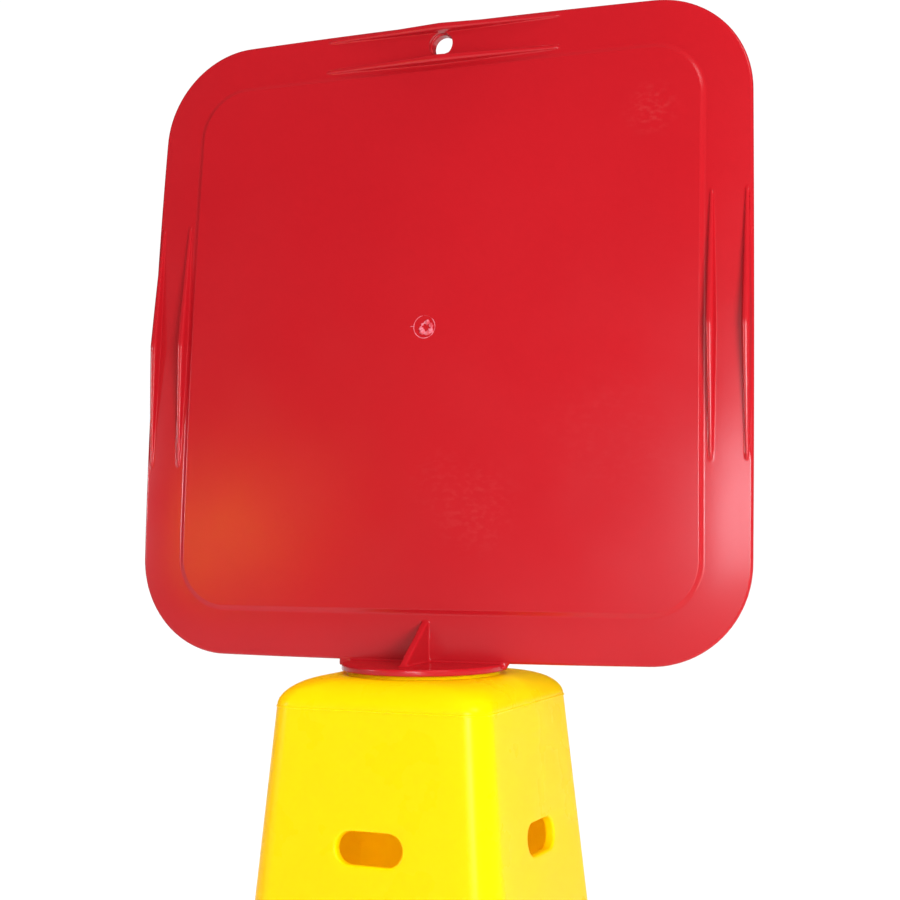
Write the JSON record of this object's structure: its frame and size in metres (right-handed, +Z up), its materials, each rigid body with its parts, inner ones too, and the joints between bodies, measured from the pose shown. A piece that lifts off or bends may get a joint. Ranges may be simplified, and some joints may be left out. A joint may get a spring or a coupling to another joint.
{
  "type": "portable cone-top sign",
  "caption": "Square sign panel with a round flange on a tall four-sided hollow cone. The sign turns on its stem, a hand nut holds it, and a ballast ring lifts off the base.",
  "frame": {"origin": "centre of the footprint, on the ground under the rubber feet", "axes": "+Z up, +Y the way the sign face looks, +X to the right when the sign's back is seen"},
  "size_m": [0.311, 0.311, 1.2218],
  "materials": {
    "red_plastic": "satin moulded polypropylene",
    "reflective_sheet": "plain retroreflective sheet",
    "dark_plastic": "matte moulded nylon",
    "yellow_plastic": "smooth moulded polyethylene",
    "black_rubber": "fine-grained recycled rubber",
    "foot_rubber": "matte rubber"
  },
  "bodies": {
    "cone": {"cone_shell": "yellow_plastic", "foot_front_left": "foot_rubber", "foot_front_right": "foot_rubber", "foot_rear_left": "foot_rubber", "foot_rear_right": "foot_rubber"},
    "sign": {"sign_panel": "red_plastic", "sign_face_sheet": "reflective_sheet"},
    "washer": {"clamp_washer": "dark_plastic"},
    "nut": {"lock_nut": "dark_plastic"},
    "ballast": {"ballast_ring": "black_rubber"}
  },
  "joints": [
    {"name": "sign_swivel", "type": "hinge", "parent": "cone", "child": "sign", "pos_m": [0, 0, 0.914], "axis": [0, 0, 1], "continuous": true},
    {"name": "washer_drop", "type": "slide", "parent": "sign", "child": "washer", "axis": [0, 0, -1], "range_m": [0, 0.008]},
    {"name": "nut_turn", "type": "hinge", "parent": "washer", "child": "nut", "pos_m": [0, 0, 0.89], "axis": [0, 0, -1], "range_deg": [0, 720]},
    {"name": "ballast_lift", "type": "slide", "parent": "cone", "child": "ballast", "axis": [0, 0, 1], "range_m": [0, 0.6]}
  ],
  "couplings": [
    {"joint": "washer_drop", "follows": "nut_turn", "m_per_rad": 0.00063662}
  ]
}
